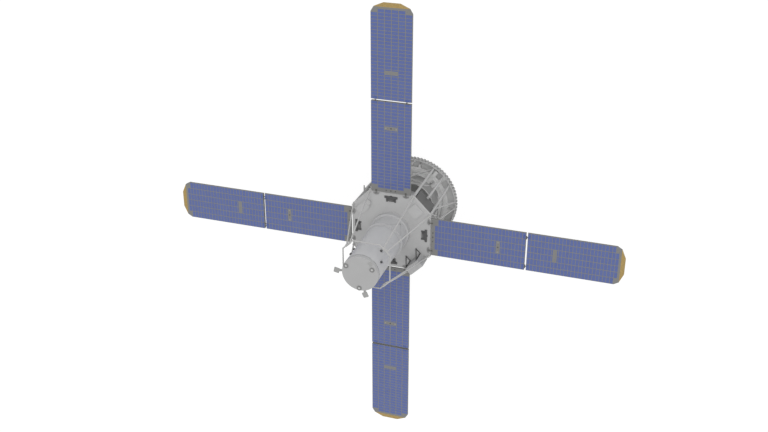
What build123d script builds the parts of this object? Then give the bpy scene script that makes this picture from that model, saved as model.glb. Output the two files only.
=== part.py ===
from build123d import *
from math import cos, hypot, radians, sin, sqrt
import os

# Solar-observing satellite: an octagonal deck on a truss over a ribbed separation ring, a telescope
# tube through the deck, and four folding solar wings.
# Row frame: +Z runs along the tube towards its front lid, X and Y run along the wings, and the
# origin is the centre of the separation ring's bottom face. Millimetres and degrees.

# Separation ring: a wall between a bolted flange and a rim, with clamp shoes round its outside
RING_R = 591
RING_H = 80
RING_WALL_T = 6
RING_LIP_W = 39
RING_FLANGE_T = 9
RING_FLANGE_W = 3
RING_RIM_T = 8
RING_RIM_W = 7
SHOE_COUNT = 80
SHOE_D = 14
SHOE_W = 24
SHOE_BOTTOM_Z = 2
SHOE_TOP_Z = 64
BOLT_COUNT = 32
BOLT_HOLE_R = 4.2
BOLT_INSET = 11.5

# Ribbed base inside the ring
FLOOR_T = 6
FLOOR_INNER_R = 150
SLIP_GAP = 0.3
RIBS = ((41.5, 2), (54.5, 18))  # in each quarter, direction and gap to the ring's wall
RIB_W = 48
HOOP_SETBACK = 88
HOOP_W = 61
HOOP_T = 16
POINTED_RIB_DIRECTION = 80.2  # in each quarter, a short pointed rib outside the hoop
POINTED_RIB_L = 50
POINTED_RIB_TIP_W = 10
POINTED_RIB_ROOT_W = 36

# Detector drum on the base, and the tube's lower part above it
DRUM_R = 340
DRUM_TOP_Z = 255
DRUM_RIM_W = 10
DRUM_RIM_T = 6

# Deck: a square with cut corners, on eight posts over the ring
DECK_TOP_Z = 991
DECK_T = 32
DECK_HALF = 507
DECK_WING_HALF = 287
POST_CIRCLE_R = 570
POST_R = 16
POST_WALL_GAP = 2
FOOT_W = 34
FOOT_T = 8
DIAGONAL_R = 9
DIAGONAL_LOW_Z = 60
DIAGONAL_DROP = 20
CROSS_ROD_R = 8
CROSS_ROD_Z = 600
CROSS_ROD_LAP = 92
LOW_BRACE_R = 8
LOW_BRACE_Z = (550, 320)  # on a bay's right post, on its left post
BRACE_R = 10
BRACE_FEET = (52, -35)  # along the ring from a wing's direction: long brace, short brace
BRACE_JOINT_DROP = 165
BRACE_TOP_R = 497
BRACE_TOP_ACROSS = 135

# Equipment boxes hanging from the deck's corner sides, each with a post of its own
BOX_DEPTH = 226
BOX_W = 254
BOX_RADIAL = 120
BOX_SETBACK = 4
BOX_POST_R = 15
BOX_POST_WALL_GAP = 2.4
BOX_POST_BASE_TURN = -1.5
BOX_POST_LAP = 30
LUG_T = 5
LUG_RISE = 2
LUG_H = 28

# Telescope tube, its lid and its collar
TUBE_R = 220.5
TUBE_END_Z = 2079
LID_T = 64
LID_GAP = 6
LID_NECK_R = 210
LID_EDGE_R = 3
COLLAR_R = 247.5
COLLAR_H = 69
COLLAR_EDGE = 6
BELT_R = 245
BELT_TOP_Z = 1300
BELT_T = 22

# Octagonal frame round the tube's front part, on struts from the deck's corners
FRAME_DROP = 166
FRAME_HALF = 290
FRAME_SIDE_HALF = 169
FRAME_ROD_R = 8
STRUT_R = 9
STRUT_SPREAD = 28
STRUT_FOOT_R = 15
STRUT_FOOT_T = 14
CLAMP_W = 80
CLAMP_D = 26
CLAMP_H = 26

# Wing hold-down brackets on the deck, measured from the axis
HOLD_INNER_R = 391
HOLD_STEP_R = 434
HOLD_OUTER_R = 468
HOLD_BASE_HALF = 63
HOLD_NOTCH_HALF = 44
HOLD_NOTCH_D = 10
HOLD_BAR_HALF = 83
HOLD_BAR_D = 26
HOLD_BUMP_D = 8
HOLD_BUMP_HALF = 9
HOLD_BASE_T = 6
HOLD_BLOCK_HALF = 38
HOLD_BLOCK_H = 14

# Fittings on the tube's front
LENSES = ((186, 155), (170, 28), (190, -92.5))  # distance from the axis, direction
LENS_RING_R = 29
LENS_R = 14
LENS_RING_H = 8
KNOBS = ((254, 47), (112, 26), (254, 145), (89, 137))  # drop from the tube's end, direction
KNOB_R = 15
KNOB_H = 16
KNOB_SINK = 12
ANTENNAS = ((-172.5, -19), (-82.5, 17))  # direction of each plate, its turn about its centre
ANTENNA_CENTRE_R = 315
ANTENNA_DROP = 2
ANTENNA_SIDE = 66
ANTENNA_T = 8
ANTENNA_CORNER_R = 8
ARM_ROOT_W = 14
ARM_END_W = 40

# Equipment unit on the deck's +X -Y corner side, with two triangular brackets on its inner face
UNIT_INNER_R = 460
UNIT_OVERHANG = 5
UNIT_W = 216
UNIT_H = 203
UNIT_EDGE = 6
GUSSET_REACH = 93
GUSSET_OFFSET = 91
GUSSET_T = 6
GUSSET_BAR = 12

# Cover plates on the deck's +Y corners
SQUARE_COVER_SIDE = 156
SQUARE_COVER_R = 440
LONG_COVER_OUTER_R = 502
LONG_COVER_INNER_R = (403, 386, 409)  # along its curved inner side
LONG_COVER_ACROSS = (162, 80, -20)
ROUND_COVER_CENTRE_R = 454
ROUND_COVER_R = 36
ROUND_COVER_SHIFT = -37
ROUND_COVER_T = 20
COVER_T = 15

# Solar wings, each of an inner panel, an outer panel with cut corners and a foil tip
CELL_FACE_Z = 1005
PANEL_T = 22
WING_HALF = 251.4
ROOT_GAP = 12
INNER_PANEL_L = 1178
PANEL_GAP = 22
OUTER_PANEL_L = 1110.5
CHAMFER_L = 57.5
CHAMFER_W = 34.4
TIP_L = 50.5
TIP_HALF = 102

# Hinges: the axes run this far above the cell face, over the gap that they bridge
HINGE_RISE = 8
KNUCKLE_R = 5
PIN_R = 2.5
PIN_FIT = 0.05
LEAF_T = 3
LEAF_REACH = 26
ROOT_HINGE_OFFSET = 190
MID_HINGE_OFFSET = 195
ROOT_KNUCKLE_W = 6
MID_KNUCKLE_W = 14
KNUCKLE_GAP = 0.5
HINGE_FOOT_W = 76
HINGE_FOOT_D = 29
HINGE_FOOT_SETBACK = 10
HINGE_FOOT_T = 6
HINGE_FOOT_END_D = 12
HINGE_ARM_ROOT_D = 20

WINGS = (("px", 0), ("py", 90), ("nx", 180), ("ny", 270))  # name, direction of the wing
CORNERS = (("px_py", 45), ("nx_py", 135), ("nx_ny", 225), ("px_ny", 315))  # name, direction

# Worked out from the sizes above
RING_WALL_R = RING_R - SHOE_D
RING_WALL_INNER_R = RING_WALL_R - RING_WALL_T
SHOE_INNER_R = RING_WALL_R - RING_WALL_T / 2
RING_FLANGE_R = RING_WALL_R + RING_FLANGE_W
RING_RIM_R = RING_WALL_R + RING_RIM_W
BOLT_CIRCLE_R = RING_WALL_INNER_R - BOLT_INSET
HOOP_OUTER_R = RING_WALL_INNER_R - HOOP_SETBACK
HOOP_INNER_R = HOOP_OUTER_R - HOOP_W
POINTED_RIB_TIP_R = HOOP_OUTER_R + POINTED_RIB_L
POST_BASE_R = RING_WALL_INNER_R - POST_WALL_GAP - POST_R
BOX_POST_BASE_R = RING_WALL_INNER_R - BOX_POST_WALL_GAP - BOX_POST_R
BRACE_FOOT_R = RING_WALL_INNER_R + RING_WALL_T / 2
FLOOR_TOP_Z = RING_FLANGE_T + FLOOR_T
DECK_BOTTOM_Z = DECK_TOP_Z - DECK_T
LID_TOP_Z = TUBE_END_Z + LID_T
FRAME_Z = TUBE_END_Z - FRAME_DROP
ANTENNA_Z = TUBE_END_Z - ANTENNA_DROP
CORNER_SIDE_R = (DECK_HALF + DECK_WING_HALF) / sqrt(2)
HINGE_Z = CELL_FACE_Z + HINGE_RISE
ROOT_R = DECK_HALF + ROOT_GAP
ROOT_AXIS_R = DECK_HALF + ROOT_GAP / 2
INNER_END_R = ROOT_R + INNER_PANEL_L
OUTER_START_R = INNER_END_R + PANEL_GAP
MID_AXIS_R = INNER_END_R + PANEL_GAP / 2
TIP_START_R = OUTER_START_R + OUTER_PANEL_L
CHAMFER_R = TIP_START_R - CHAMFER_L
TIP_START_HALF = WING_HALF - CHAMFER_W
TIP_R = TIP_START_R + TIP_L
POST_SCALE = POST_CIRCLE_R / hypot(DECK_HALF, DECK_WING_HALF)
POST_X = DECK_HALF * POST_SCALE
POST_Y = DECK_WING_HALF * POST_SCALE
POST_POINTS = [
    (POST_X, POST_Y), (POST_Y, POST_X), (-POST_Y, POST_X), (-POST_X, POST_Y),
    (-POST_X, -POST_Y), (-POST_Y, -POST_X), (POST_Y, -POST_X), (POST_X, -POST_Y),
]


def outboard(angle):
    """Unit vector that points outwards from the axis in a direction."""
    return Vector(cos(radians(angle)), sin(radians(angle)), 0)


def plan_plane(angle, height):
    """Level plane whose local x points outwards and whose local y runs across."""
    return Plane(origin=(0, 0, height), x_dir=outboard(angle), z_dir=(0, 0, 1))


def side_plane(angle, offset):
    """Upright plane whose local x points outwards and local y up; its normal is the hinge line."""
    across = outboard(angle - 90)
    return Plane(origin=across * offset, x_dir=outboard(angle), z_dir=across)


def rod_plane(start, end):
    """Plane at a rod's start, with its normal along the rod."""
    return Plane(origin=start, z_dir=Vector(*end) - Vector(*start))


def octagon(half, side_half):
    """Corner points of a square with cut corners."""
    return [
        (half, side_half), (side_half, half), (-side_half, half), (-half, side_half),
        (-half, -side_half), (-side_half, -half), (side_half, -half), (half, -side_half),
    ]


def save(piece, node):
    """Label a finished piece and write it to its STEP file."""
    piece.label = node
    export_step(piece, f"parts/{node}.step")


os.makedirs("parts", exist_ok=True)

# ---- Separation ring -------------------------------------------------------------------------
with BuildPart() as separation_ring:
    with BuildSketch(Plane.XZ):
        with BuildLine():
            Polyline(
                (RING_WALL_INNER_R - RING_LIP_W, 0),
                (RING_FLANGE_R, 0),
                (RING_FLANGE_R, RING_FLANGE_T),
                (RING_WALL_R, RING_FLANGE_T),
                (RING_WALL_R, RING_H - RING_RIM_T),
                (RING_RIM_R, RING_H - RING_RIM_T),
                (RING_RIM_R, RING_H),
                (RING_WALL_INNER_R, RING_H),
                (RING_WALL_INNER_R, RING_FLANGE_T),
                (RING_WALL_INNER_R - RING_LIP_W, RING_FLANGE_T),
                close=True,
            )
        make_face()
    revolve(axis=Axis.Z)
    with BuildSketch(Plane.XY.offset(SHOE_BOTTOM_Z)):
        with PolarLocations((SHOE_INNER_R + RING_R) / 2, SHOE_COUNT):
            Rectangle(RING_R - SHOE_INNER_R, SHOE_W)
    extrude(amount=SHOE_TOP_Z - SHOE_BOTTOM_Z)
    with BuildSketch(Plane.XY):
        with PolarLocations(BOLT_CIRCLE_R, BOLT_COUNT):
            Circle(BOLT_HOLE_R)
    extrude(amount=RING_FLANGE_T, mode=Mode.SUBTRACT)
save(separation_ring.part, "separation_ring")

# ---- Ribbed base: floor, radial ribs and a flat hoop across them -----------------------------
BASE_R = RING_WALL_INNER_R - SLIP_GAP
RIB_INNER_R = DRUM_R + SLIP_GAP
QUARTERS = (0, 90, 180, 270)
with BuildPart() as ribbed_base:
    with BuildSketch(Plane.XY.offset(RING_FLANGE_T)):
        Circle(BASE_R)
        Circle(FLOOR_INNER_R, mode=Mode.SUBTRACT)
        with PolarLocations(BOLT_CIRCLE_R, BOLT_COUNT):
            Circle(BOLT_HOLE_R, mode=Mode.SUBTRACT)
    extrude(amount=FLOOR_T)
    for quarter in QUARTERS:
        for direction, gap in RIBS:
            outer_r = RING_WALL_INNER_R - gap
            with BuildSketch(plan_plane(quarter + direction, FLOOR_TOP_Z)) as rib:
                with Locations(((RIB_INNER_R + outer_r) / 2, 0)):
                    Rectangle(outer_r - RIB_INNER_R, RIB_W)
            extrude(rib.sketch, amount=RING_H - FLOOR_TOP_Z)
        with BuildSketch(plan_plane(quarter + POINTED_RIB_DIRECTION, FLOOR_TOP_Z)) as pointed_rib:
            with BuildLine():
                Polyline(
                    (HOOP_INNER_R, -POINTED_RIB_ROOT_W / 2),
                    (HOOP_OUTER_R, -POINTED_RIB_ROOT_W / 2),
                    (POINTED_RIB_TIP_R, -POINTED_RIB_TIP_W / 2),
                    (POINTED_RIB_TIP_R, POINTED_RIB_TIP_W / 2),
                    (HOOP_OUTER_R, POINTED_RIB_ROOT_W / 2),
                    (HOOP_INNER_R, POINTED_RIB_ROOT_W / 2),
                    close=True,
                )
            make_face()
        extrude(pointed_rib.sketch, amount=RING_H - FLOOR_TOP_Z)
    with BuildSketch(Plane.XY.offset(RING_H - HOOP_T)):
        Circle(HOOP_OUTER_R)
        Circle(HOOP_INNER_R, mode=Mode.SUBTRACT)
    extrude(amount=HOOP_T)
save(ribbed_base.part, "ribbed_base")

# ---- Detector drum, its rim, and the tube's lower part ---------------------------------------
with BuildPart() as detector_drum:
    with BuildSketch(Plane.XY.offset(FLOOR_TOP_Z)):
        Circle(DRUM_R)
    extrude(amount=DRUM_TOP_Z - FLOOR_TOP_Z)
save(detector_drum.part, "detector_drum")

with BuildPart() as drum_rim:
    with BuildSketch(Plane.XY.offset(DRUM_TOP_Z)):
        Circle(DRUM_R)
        Circle(DRUM_R - DRUM_RIM_W, mode=Mode.SUBTRACT)
    extrude(amount=DRUM_RIM_T)
save(drum_rim.part, "drum_rim")

# ---- Deck ------------------------------------------------------------------------------------
with BuildPart() as deck:
    with BuildSketch(Plane.XY.offset(DECK_BOTTOM_Z)):
        with BuildLine():
            Polyline(*octagon(DECK_HALF, DECK_WING_HALF), close=True)
        make_face()
        Circle(TUBE_R + SLIP_GAP, mode=Mode.SUBTRACT)
    extrude(amount=DECK_T)
save(deck.part, "deck")

# ---- Truss: leaning posts, and in each bay a diagonal, a cross rod and three braces -------------
def rod(start, end, radius, mode=Mode.ADD):
    """Round rod between two points, added to or cut from the part in hand."""
    with BuildSketch(rod_plane(start, end)) as section:
        Circle(radius)
    extrude(section.sketch, amount=(Vector(*end) - Vector(*start)).length, mode=mode)


def bay_point(angle, out, across, height):
    """Point of a wing's bay: outwards, to the left along the hinge line, and up."""
    return outboard(angle) * out + outboard(angle + 90) * across + Vector(0, 0, height)


def post_point(angle, side, height, beyond=0):
    """Point on the axis of a bay's right (-1) or left (1) post, or beyond it across the bay."""
    share = (height - FLOOR_TOP_Z) / (DECK_BOTTOM_Z - FLOOR_TOP_Z)
    scale = (POST_BASE_R + (POST_CIRCLE_R - POST_BASE_R) * share) / POST_CIRCLE_R
    return bay_point(angle, POST_X * scale, side * (POST_Y * scale + beyond), height)


def posts(radius, overrun, mode=Mode.ADD):
    """The eight posts, run past the floor and the deck's underside."""
    for _, angle in WINGS:
        for side in (-1, 1):
            low = post_point(angle, side, FLOOR_TOP_Z - overrun)
            high = post_point(angle, side, DECK_BOTTOM_Z + overrun)
            rod(low, high, radius, mode)


with BuildPart() as truss_posts:
    posts(POST_R, FLOOR_T)
    with BuildSketch(Plane.XY):
        Circle(RING_R)
    extrude(amount=FLOOR_TOP_Z, mode=Mode.SUBTRACT)
    with BuildSketch(Plane.XY.offset(DECK_BOTTOM_Z)):
        Rectangle(2 * RING_R, 2 * RING_R)
    extrude(amount=DECK_T, mode=Mode.SUBTRACT)
    with BuildSketch(Plane.XY.offset(DECK_BOTTOM_Z - FOOT_T)):
        with Locations(*POST_POINTS):
            Rectangle(FOOT_W, FOOT_W)
    extrude(amount=FOOT_T)
save(truss_posts.part, "truss_posts")

with BuildPart() as truss_diagonals:
    for _, angle in WINGS:
        foot = bay_point(angle, BRACE_FOOT_R, BRACE_FEET[0], RING_H - BRACE_R)
        joint = post_point(angle, 1, DECK_BOTTOM_Z - BRACE_JOINT_DROP)
        rod(foot, joint, BRACE_R)
        foot = bay_point(angle, BRACE_FOOT_R, BRACE_FEET[1], RING_H - BRACE_R)
        top = bay_point(angle, BRACE_TOP_R, BRACE_TOP_ACROSS, DECK_BOTTOM_Z + BRACE_R)
        rod(foot, top, BRACE_R)
    with BuildSketch(Plane.XY):
        Circle(RING_R)
    extrude(amount=RING_H, mode=Mode.SUBTRACT)
    with BuildSketch(Plane.XY.offset(DECK_BOTTOM_Z)):
        Rectangle(2 * DECK_HALF, 2 * DECK_HALF)
    extrude(amount=DECK_T, mode=Mode.SUBTRACT)
    for _, angle in WINGS:
        low = post_point(angle, -1, DIAGONAL_LOW_Z)
        high = post_point(angle, 1, DECK_BOTTOM_Z - FOOT_T - DIAGONAL_DROP)
        rod(low, high, DIAGONAL_R)
        low = post_point(angle, -1, CROSS_ROD_Z, CROSS_ROD_LAP)
        high = post_point(angle, 1, CROSS_ROD_Z, CROSS_ROD_LAP)
        rod(low, high, CROSS_ROD_R)
        low = post_point(angle, -1, LOW_BRACE_Z[0])
        high = post_point(angle, 1, LOW_BRACE_Z[1])
        rod(low, high, LOW_BRACE_R)
    posts(POST_R + SLIP_GAP, FLOOR_T, Mode.SUBTRACT)
save(truss_diagonals.part, "truss_diagonals")

# ---- Equipment boxes and their posts ---------------------------------------------------------
BOX_FACE_R = CORNER_SIDE_R - BOX_SETBACK
BOX_BOTTOM_Z = DECK_BOTTOM_Z - BOX_DEPTH
for corner, angle in CORNERS:
    with BuildPart() as equipment_box:
        with BuildSketch(plan_plane(angle, BOX_BOTTOM_Z)):
            with Locations((BOX_FACE_R - BOX_RADIAL / 2, 0)):
                Rectangle(BOX_RADIAL, BOX_W)
        extrude(amount=BOX_DEPTH)
    save(equipment_box.part, f"equipment_box_{corner}")

BOX_POST_CIRCLE_R = BOX_FACE_R + LUG_T + BOX_POST_R
BOX_POST_TOP_Z = BOX_BOTTOM_Z + BOX_POST_LAP
LUG_D = LUG_T + BOX_POST_R
with BuildPart() as box_posts:
    for _, angle in CORNERS:
        base = outboard(angle + BOX_POST_BASE_TURN) * BOX_POST_BASE_R
        base += Vector(0, 0, RING_H - BOX_POST_R / 2)
        rod(base, outboard(angle) * BOX_POST_CIRCLE_R + Vector(0, 0, BOX_POST_TOP_Z), BOX_POST_R)
    with BuildSketch(Plane.XY):
        Circle(RING_R)
    extrude(amount=RING_H, mode=Mode.SUBTRACT)
    with BuildSketch(Plane.XY.offset(BOX_BOTTOM_Z + LUG_RISE)):
        with PolarLocations(BOX_FACE_R + LUG_D / 2, len(CORNERS), start_angle=CORNERS[0][1]):
            Rectangle(LUG_D, 2 * BOX_POST_R)
    extrude(amount=LUG_H)
save(box_posts.part, "box_posts")

# ---- Telescope tube and lid ------------------------------------------------------------------
with BuildPart() as telescope_tube:
    with BuildSketch(Plane.XY.offset(DRUM_TOP_Z)):
        Circle(TUBE_R)
    extrude(amount=TUBE_END_Z - DRUM_TOP_Z)
save(telescope_tube.part, "telescope_tube")

with BuildPart() as front_lid:
    with BuildSketch(Plane.XZ):
        with BuildLine():
            Polyline(
                (0, TUBE_END_Z),
                (LID_NECK_R, TUBE_END_Z),
                (LID_NECK_R, TUBE_END_Z + LID_GAP),
                (TUBE_R, TUBE_END_Z + LID_GAP),
                (TUBE_R, LID_TOP_Z - LID_EDGE_R),
                (TUBE_R - LID_EDGE_R, LID_TOP_Z),
                (0, LID_TOP_Z),
                close=True,
            )
        make_face()
    revolve(axis=Axis.Z)
save(front_lid.part, "front_lid")

# The collar on the deck and the belt round the tube, both as turned rings
with BuildPart() as tube_collars:
    with BuildSketch(Plane.XZ):
        with BuildLine():
            Polyline(
                (TUBE_R + SLIP_GAP, DECK_TOP_Z),
                (COLLAR_R, DECK_TOP_Z),
                (COLLAR_R, DECK_TOP_Z + COLLAR_H - COLLAR_EDGE),
                (COLLAR_R - COLLAR_EDGE, DECK_TOP_Z + COLLAR_H),
                (TUBE_R + SLIP_GAP, DECK_TOP_Z + COLLAR_H),
                close=True,
            )
        make_face()
        with Locations(((TUBE_R + SLIP_GAP + BELT_R) / 2, BELT_TOP_Z - BELT_T / 2)):
            Rectangle(BELT_R - TUBE_R - SLIP_GAP, BELT_T)
    revolve(axis=Axis.Z)
save(tube_collars.part, "tube_collars")

# ---- Front frame and its struts --------------------------------------------------------------
FRAME_POINTS = octagon(FRAME_HALF, FRAME_SIDE_HALF)
with BuildPart() as front_frame:
    with BuildLine():
        Polyline(*[(x, y, FRAME_Z) for x, y in [(FRAME_HALF, 0), *FRAME_POINTS]], close=True)
    with BuildSketch(Plane(origin=(FRAME_HALF, 0, FRAME_Z), z_dir=(0, 1, 0))):
        Circle(FRAME_ROD_R)
    sweep(transition=Transition.RIGHT)
save(front_frame.part, "front_frame")

FRAME_CORNER_R = (FRAME_HALF + FRAME_SIDE_HALF) / sqrt(2)
APEX_Z = FRAME_Z - CLAMP_H + STRUT_R
with BuildPart() as frame_struts:
    for _, angle in CORNERS:
        apex = outboard(angle) * FRAME_CORNER_R + Vector(0, 0, APEX_Z)
        with BuildSketch(plan_plane(angle, FRAME_Z - CLAMP_H)) as clamp:
            with Locations((FRAME_CORNER_R, 0)):
                Rectangle(CLAMP_D, CLAMP_W)
        extrude(clamp.sketch, amount=CLAMP_H)
        for x, y, spread in ((POST_X, POST_Y, -STRUT_SPREAD), (POST_Y, POST_X, STRUT_SPREAD)):
            foot = outboard(angle - 45) * x + outboard(angle + 45) * y
            foot += Vector(0, 0, DECK_TOP_Z + STRUT_FOOT_T - STRUT_R / 2)
            rod(foot, apex + outboard(angle + 90) * spread, STRUT_R)
    with BuildSketch(Plane.XY.offset(DECK_TOP_Z)):
        with Locations(*POST_POINTS):
            Circle(STRUT_FOOT_R)
    extrude(amount=STRUT_FOOT_T)
    for _, angle in CORNERS:
        with BuildSketch(side_plane(angle, -CLAMP_W)) as saddle:
            with Locations((FRAME_CORNER_R, FRAME_Z)):
                Circle(FRAME_ROD_R + SLIP_GAP)
        extrude(saddle.sketch, amount=2 * CLAMP_W, mode=Mode.SUBTRACT)
save(frame_struts.part, "frame_struts")

# ---- Deck fittings ---------------------------------------------------------------------------
HOLD_HALF_OUTLINE = (
    (HOLD_OUTER_R + HOLD_BUMP_D, 0),
    (HOLD_OUTER_R + HOLD_BUMP_D, HOLD_BUMP_HALF),
    (HOLD_OUTER_R, HOLD_BUMP_HALF + HOLD_BUMP_D),
    (HOLD_OUTER_R, HOLD_BAR_HALF),
    (HOLD_OUTER_R - HOLD_BAR_D, HOLD_BAR_HALF),
    (HOLD_STEP_R, HOLD_BASE_HALF),
    (HOLD_INNER_R, HOLD_BASE_HALF),
    (HOLD_INNER_R, HOLD_NOTCH_HALF),
    (HOLD_INNER_R + HOLD_NOTCH_D, HOLD_NOTCH_HALF - HOLD_NOTCH_D),
    (HOLD_INNER_R + HOLD_NOTCH_D, 0),
)
with BuildPart() as hold_downs:
    for _, angle in WINGS:
        with BuildSketch(plan_plane(angle, DECK_TOP_Z)) as base:
            with BuildLine():
                Polyline(*HOLD_HALF_OUTLINE)
                mirror(about=Plane.XZ)
            make_face()
        extrude(base.sketch, amount=HOLD_BASE_T)
        with BuildSketch(plan_plane(angle, DECK_TOP_Z)) as block:
            with Locations(((HOLD_INNER_R + HOLD_OUTER_R) / 2, 0)):
                Rectangle(HOLD_BLOCK_HALF, 2 * HOLD_BLOCK_HALF)
            with Locations((HOLD_OUTER_R - HOLD_BAR_D / 2, 0)):
                Rectangle(HOLD_BAR_D, 2 * HOLD_BAR_HALF)
        extrude(block.sketch, amount=HOLD_BLOCK_H)
save(hold_downs.part, "hold_downs")

with BuildPart() as deck_covers:
    with BuildSketch(plan_plane(CORNERS[0][1], DECK_TOP_Z)) as square_cover:
        with Locations((SQUARE_COVER_R, 0)):
            Rectangle(SQUARE_COVER_SIDE, SQUARE_COVER_SIDE)
    extrude(square_cover.sketch, amount=COVER_T)
    with BuildSketch(plan_plane(CORNERS[1][1], DECK_TOP_Z)) as long_cover:
        with BuildLine():
            curved_side = ThreePointArc(*zip(LONG_COVER_INNER_R, LONG_COVER_ACROSS))
            Polyline(
                curved_side @ 1,
                (LONG_COVER_OUTER_R, LONG_COVER_ACROSS[-1]),
                (LONG_COVER_OUTER_R, LONG_COVER_ACROSS[0]),
                curved_side @ 0,
            )
        make_face()
    extrude(long_cover.sketch, amount=COVER_T)
    with BuildSketch(plan_plane(CORNERS[1][1], DECK_TOP_Z)) as round_cover:
        with Locations((ROUND_COVER_CENTRE_R, ROUND_COVER_SHIFT)):
            Circle(ROUND_COVER_R)
    extrude(round_cover.sketch, amount=ROUND_COVER_T)
save(deck_covers.part, "deck_covers")

UNIT_DIRECTION = CORNERS[-1][1]
UNIT_D = CORNER_SIDE_R + UNIT_OVERHANG - UNIT_INNER_R
with BuildPart() as corner_unit:
    with BuildSketch(plan_plane(UNIT_DIRECTION, DECK_TOP_Z)):
        with Locations((UNIT_INNER_R + UNIT_D / 2, 0)):
            Rectangle(UNIT_D, UNIT_W)
    extrude(amount=UNIT_H)
    chamfer(corner_unit.faces().sort_by(Axis.Z)[-1].edges(), length=UNIT_EDGE)
save(corner_unit.part, "corner_unit")

with BuildPart() as corner_unit_brackets:
    for across in (-GUSSET_OFFSET, GUSSET_OFFSET):
        with BuildSketch(side_plane(UNIT_DIRECTION, across - GUSSET_T / 2)) as gusset:
            with BuildLine():
                Polyline(
                    (UNIT_INNER_R, DECK_TOP_Z),
                    (UNIT_INNER_R, DECK_TOP_Z + UNIT_H),
                    (UNIT_INNER_R - GUSSET_REACH, DECK_TOP_Z),
                    close=True,
                )
            make_face()
            offset(amount=-GUSSET_BAR, kind=Kind.INTERSECTION, mode=Mode.SUBTRACT)
        extrude(gusset.sketch, amount=GUSSET_T)
save(corner_unit_brackets.part, "corner_unit_brackets")

# ---- Fittings on the tube's front ------------------------------------------------------------
with BuildPart() as lens_rings:
    for radius, angle in LENSES:
        with BuildSketch(plan_plane(angle, LID_TOP_Z)) as ring:
            with Locations((radius, 0)):
                Circle(LENS_RING_R)
                Circle(LENS_R, mode=Mode.SUBTRACT)
        extrude(ring.sketch, amount=LENS_RING_H)
save(lens_rings.part, "lens_rings")

with BuildPart() as tube_knobs:
    for drop, angle in KNOBS:
        seat = outboard(angle) * (TUBE_R - KNOB_SINK) + Vector(0, 0, TUBE_END_Z - drop)
        rod(seat, seat + outboard(angle) * (KNOB_H + KNOB_SINK), KNOB_R)
    with BuildSketch(Plane.XY.offset(DECK_TOP_Z)):
        Circle(TUBE_R)
    extrude(amount=TUBE_END_Z - DECK_TOP_Z, mode=Mode.SUBTRACT)
save(tube_knobs.part, "tube_knobs")

with BuildPart() as antennas:
    for angle, turn in ANTENNAS:
        with BuildSketch(plan_plane(angle, ANTENNA_Z)) as plate:
            with Locations(Location((ANTENNA_CENTRE_R, 0), turn)):
                RectangleRounded(ANTENNA_SIDE, ANTENNA_SIDE, ANTENNA_CORNER_R)
            with BuildLine():
                Polyline(
                    (TUBE_R - KNOB_SINK, -ARM_ROOT_W / 2),
                    (ANTENNA_CENTRE_R, -ARM_END_W / 2),
                    (ANTENNA_CENTRE_R, ARM_END_W / 2),
                    (TUBE_R - KNOB_SINK, ARM_ROOT_W / 2),
                    close=True,
                )
            make_face()
        extrude(plate.sketch, amount=-ANTENNA_T)
    with BuildSketch(Plane.XY.offset(DECK_TOP_Z)):
        Circle(TUBE_R)
    extrude(amount=TUBE_END_Z - DECK_TOP_Z, mode=Mode.SUBTRACT)
save(antennas.part, "antennas")

# ---- Hinges ----------------------------------------------------------------------------------
def leaf(angle, offset, width, edge_r, end_r):
    """Flat leaf on the cell face, from a panel's edge inwards over the panel."""
    with BuildSketch(plan_plane(angle, CELL_FACE_Z)) as plate:
        with Locations(((edge_r + end_r) / 2, offset)):
            Rectangle(abs(end_r - edge_r), width)
    extrude(plate.sketch, amount=LEAF_T)


def knuckle(angle, offset, width, axis_r, edge_r, bore_r=0):
    """Barrel on the hinge line with the web that carries it from a leaf's end."""
    with BuildSketch(side_plane(angle, -offset - width / 2)) as section:
        with BuildLine():
            Polyline(
                (edge_r, CELL_FACE_Z),
                (axis_r, HINGE_Z - KNUCKLE_R),
                (axis_r, HINGE_Z),
                (edge_r, CELL_FACE_Z + LEAF_T),
                close=True,
            )
        make_face()
        with Locations((axis_r, HINGE_Z)):
            Circle(KNUCKLE_R)
            if bore_r:
                Circle(bore_r, mode=Mode.SUBTRACT)
    extrude(section.sketch, amount=width)


def pin(angle, offset, width, axis_r):
    """Hinge pin across the knuckles, added to the part in hand."""
    with BuildSketch(side_plane(angle, -offset - width / 2)) as section:
        with Locations((axis_r, HINGE_Z)):
            Circle(PIN_R)
    extrude(section.sketch, amount=width)


ROOT_PITCH = ROOT_KNUCKLE_W + KNUCKLE_GAP
MID_PITCH = MID_KNUCKLE_W + KNUCKLE_GAP
ROOT_STACK_W = 3 * ROOT_KNUCKLE_W + 2 * KNUCKLE_GAP
MID_STACK_W = 3 * MID_KNUCKLE_W + 2 * KNUCKLE_GAP
BORE_R = PIN_R + PIN_FIT

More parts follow.
